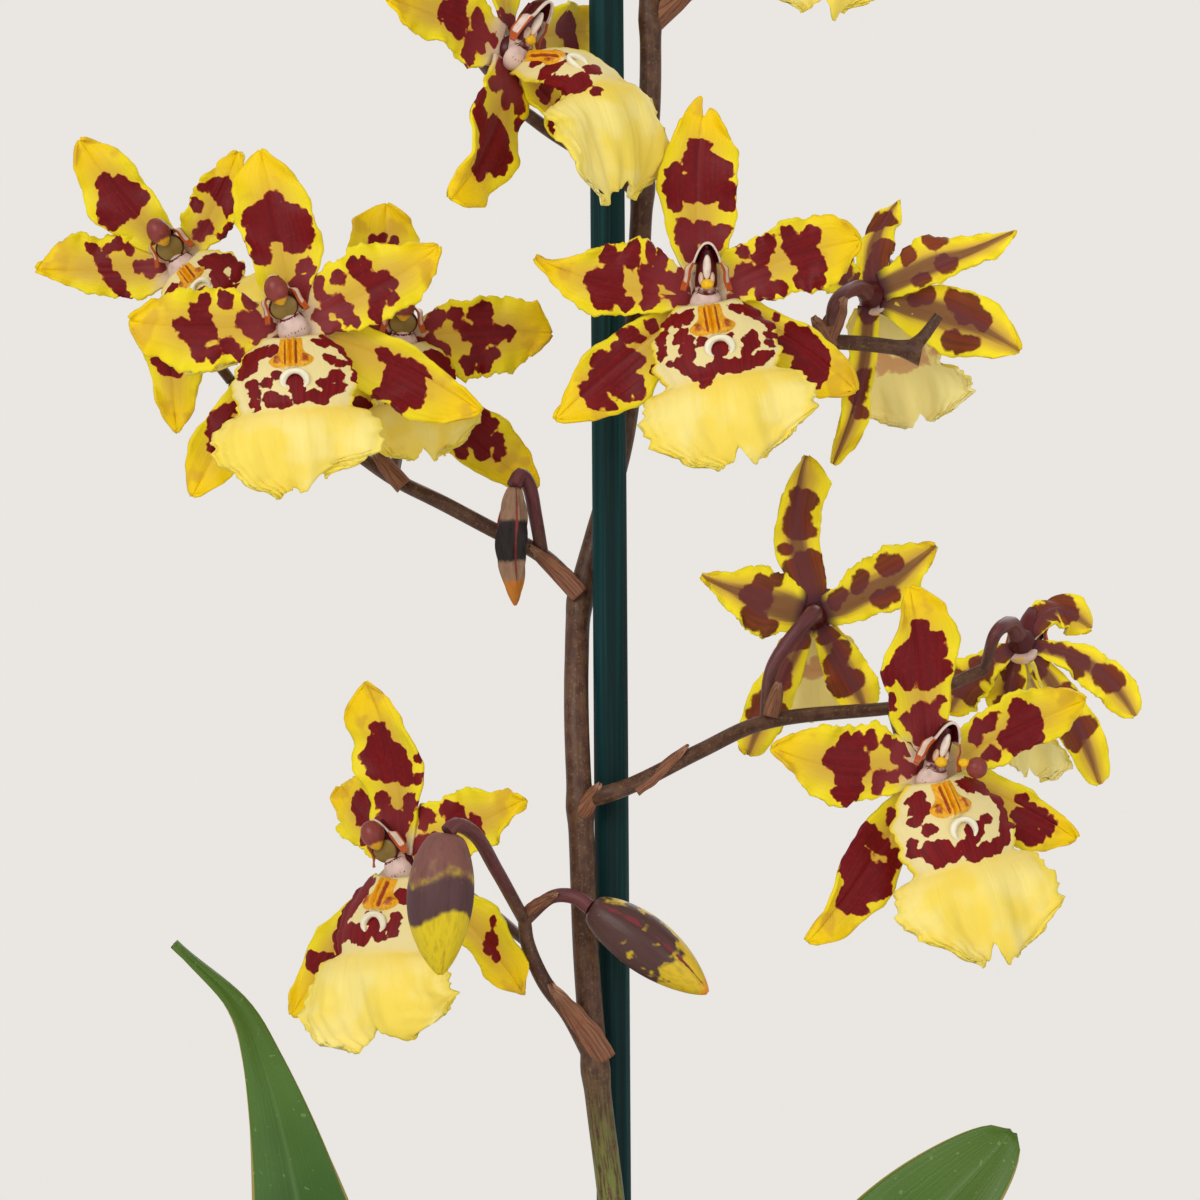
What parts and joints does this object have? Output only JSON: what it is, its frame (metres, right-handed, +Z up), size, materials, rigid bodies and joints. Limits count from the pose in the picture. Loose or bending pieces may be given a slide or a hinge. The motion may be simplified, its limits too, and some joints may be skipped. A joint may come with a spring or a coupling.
{
  "type": "potted cambria orchid",
  "caption": "Potted cambria orchid: round pot of bark, pseudobulbs with strap leaves and a tall staked spike of spotted yellow blooms and buds.",
  "frame": {"origin": "middle of the flat underside of the pot", "axes": "+Z up along the stake, -Y towards the viewer of the picture, +X to the viewer's right"},
  "size_m": [0.2752, 0.1724, 0.6262],
  "materials": {
    "pot_glaze": "smooth off-white glaze, satin",
    "bark": "coarse conifer bark chips, matt",
    "bulb": "green waxy skin, faint ribs",
    "stake_stain": "split cane stained dark green, satin",
    "clip_plastic": "soft green plastic",
    "stem": "olive brown skin flushed purple, satin",
    "leaf": "leathery green, satin",
    "tepal": "bright yellow with dark red blotches, satin",
    "lip": "pale yellow skirt, cream and red spotted throat",
    "bud": "yellow-green bud overlaid with brown purple",
    "dried_bud": "shrivelled dark red and black, amber at the tip"
  },
  "bodies": {
    "root": {"planter": "pot_glaze", "potting_bark": "bark", "pseudobulbs": "bulb", "stake": "stake_stain", "stem_clip": "clip_plastic", "flower_spike": "stem", "leaf_left_tall": "leaf", "leaf_left_rear": "leaf", "leaf_centre_left": "leaf", "leaf_centre_right": "leaf", "leaf_right_tall": "leaf", "leaf_right_rear": "leaf", "leaf_left_low": "leaf", "leaf_right_low": "leaf", "bud_near": "bud", "bud_low": "bud", "bud_dried": "dried_bud", "bud_top_1": "bud", "bud_top_2": "bud", "bud_top_3": "bud", "bloom_a_tepals": "tepal", "bloom_a_lip": "lip", "bloom_b_tepals": "tepal", "bloom_b_lip": "lip", "bloom_c_tepals": "tepal", "bloom_c_lip": "lip", "bloom_d_tepals": "tepal", "bloom_d_lip": "lip", "bloom_e_tepals": "tepal", "bloom_e_lip": "lip", "bloom_f_tepals": "tepal", "bloom_f_lip": "lip", "bloom_g_tepals": "tepal", "bloom_g_lip": "lip", "bloom_h_tepals": "tepal", "bloom_h_lip": "lip", "bloom_i_tepals": "tepal", "bloom_i_lip": "lip", "bloom_j_tepals": "tepal", "bloom_j_lip": "lip", "bloom_k_tepals": "tepal", "bloom_k_lip": "lip", "bloom_l_tepals": "tepal", "bloom_l_lip": "lip"}
  },
  "joints": []
}
